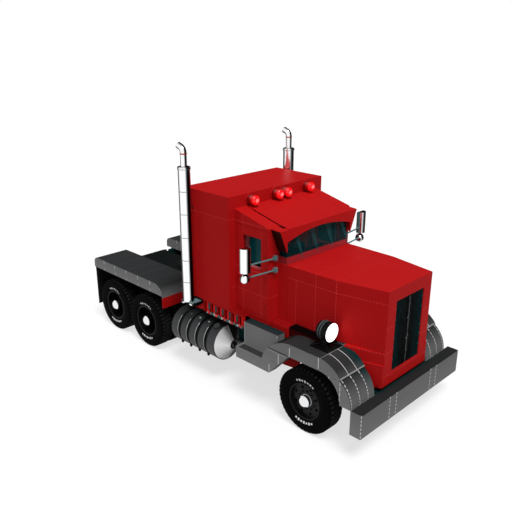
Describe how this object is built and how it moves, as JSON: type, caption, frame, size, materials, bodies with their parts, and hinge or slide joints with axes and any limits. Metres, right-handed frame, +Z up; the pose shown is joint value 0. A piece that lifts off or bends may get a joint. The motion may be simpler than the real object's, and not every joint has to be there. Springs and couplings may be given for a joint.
{
  "type": "semi truck tractor unit",
  "caption": "Conventional three-axle tractor unit: long square hood, sleeper cab, twin upright exhausts, ribbed tanks, twin rear tyres and a tilting coupling plate.",
  "frame": {"origin": "on the ground, at the centre of the vehicle's length and width", "axes": "+X forward, +Y to the vehicle's left, +Z up"},
  "size_m": [6.574, 2.9758, 3.9505],
  "materials": {
    "tyre": "black rubber",
    "rim": "gloss black",
    "cast": "painted iron",
    "red": "gloss red",
    "glass": "tinted",
    "chassis": "satin black",
    "deck": "satin black",
    "grey": "satin grey",
    "tank": "satin",
    "chrome": "polished",
    "rubber": "matt",
    "grille": "gloss black",
    "lamp": "black shell",
    "trim": "matt",
    "seat": "woven",
    "marker": "red lens"
  },
  "bodies": {
    "chassis": {"frame_rails": "chassis", "crossmembers": "chassis", "rear_deck": "deck", "front_bumper": "grey", "front_axle": "cast", "suspension": "chassis", "drive_axles": "cast", "engine_block": "cast", "radiator": "cast", "chassis_brackets": "chassis", "fuel_tanks": "tank", "step_boxes": "grey", "exhaust_stacks": "chrome", "exhaust_piping": "cast", "rear_fenders": "grey", "mud_flaps": "rubber", "side_panels": "red", "fifth_wheel_feet": "deck", "cab_shell": "red", "windscreen": "glass", "roof_visor": "red", "sleeper_shell": "red", "dashboard": "trim", "seats": "seat", "mirrors": "chrome", "marker_lamps": "marker", "light_bar": "chassis", "tail_lamps": "marker", "battery_boxes": "chassis"},
    "hood_assembly": {"hood": "red", "grille": "grille", "front_fenders": "grey", "headlights": "lamp"},
    "door_left": {"door_left": "red", "door_glass_left": "glass"},
    "door_right": {"door_right": "red", "door_glass_right": "glass"},
    "coupling_plate": {"fifth_wheel": "deck"},
    "steering_left": {"knuckle_left": "cast"},
    "steering_right": {"knuckle_right": "cast"},
    "tie_rod": {"tie_rod": "cast"},
    "front_wheel_left": {"tyre_front_left": "tyre", "wheel_front_left": "rim"},
    "second_axle_wheels_left": {"tyres_second_left": "tyre", "wheels_second_left": "rim"},
    "third_axle_wheels_left": {"tyres_third_left": "tyre", "wheels_third_left": "rim"},
    "front_wheel_right": {"tyre_front_right": "tyre", "wheel_front_right": "rim"},
    "second_axle_wheels_right": {"tyres_second_right": "tyre", "wheels_second_right": "rim"},
    "third_axle_wheels_right": {"tyres_third_right": "tyre", "wheels_third_right": "rim"}
  },
  "joints": [
    {"name": "steering_left", "type": "hinge", "parent": "chassis", "child": "steering_left", "pos_m": [2.243, 0.96, 0.505], "axis": [0, 0, 1], "range_deg": [-35, 35]},
    {"name": "steering_right", "type": "hinge", "parent": "chassis", "child": "steering_right", "pos_m": [2.243, -0.96, 0.505], "axis": [0, 0, 1], "range_deg": [-35, 35]},
    {"name": "tie_rod_end", "type": "hinge", "parent": "steering_left", "child": "tie_rod", "pos_m": [2.093, 0.96, 0.368], "axis": [0, 0, 1], "range_deg": [-35, 35]},
    {"name": "front_wheel_spin_left", "type": "hinge", "parent": "steering_left", "child": "front_wheel_left", "pos_m": [2.243, 1.105, 0.505], "axis": [0, 1, 0], "continuous": true},
    {"name": "second_axle_spin_left", "type": "hinge", "parent": "chassis", "child": "second_axle_wheels_left", "pos_m": [-1.621, 0.966, 0.505], "axis": [0, 1, 0], "continuous": true},
    {"name": "third_axle_spin_left", "type": "hinge", "parent": "chassis", "child": "third_axle_wheels_left", "pos_m": [-2.653, 0.966, 0.505], "axis": [0, 1, 0], "continuous": true},
    {"name": "front_wheel_spin_right", "type": "hinge", "parent": "steering_right", "child": "front_wheel_right", "pos_m": [2.243, -1.105, 0.505], "axis": [0, 1, 0], "continuous": true},
    {"name": "second_axle_spin_right", "type": "hinge", "parent": "chassis", "child": "second_axle_wheels_right", "pos_m": [-1.621, -0.966, 0.505], "axis": [0, 1, 0], "continuous": true},
    {"name": "third_axle_spin_right", "type": "hinge", "parent": "chassis", "child": "third_axle_wheels_right", "pos_m": [-2.653, -0.966, 0.505], "axis": [0, 1, 0], "continuous": true},
    {"name": "door_left_hinge", "type": "hinge", "parent": "chassis", "child": "door_left", "pos_m": [1.212, 0.984, 2.02], "axis": [0, 0, -1], "range_deg": [0, 60]},
    {"name": "door_right_hinge", "type": "hinge", "parent": "chassis", "child": "door_right", "pos_m": [1.212, -0.984, 2.02], "axis": [0, 0, 1], "range_deg": [0, 60]},
    {"name": "hood_tilt", "type": "hinge", "parent": "chassis", "child": "hood_assembly", "pos_m": [3.043, 0, 0.83], "axis": [0, 1, 0], "range_deg": [0, 65]},
    {"name": "fifth_wheel_tilt", "type": "hinge", "parent": "chassis", "child": "coupling_plate", "pos_m": [-1.507, 0, 1.3], "axis": [0, 1, 0], "range_deg": [-10, 10]}
  ],
  "couplings": [
    {"joint": "steering_right", "follows": "steering_left", "ratio": 1},
    {"joint": "tie_rod_end", "follows": "steering_left", "ratio": -1}
  ]
}
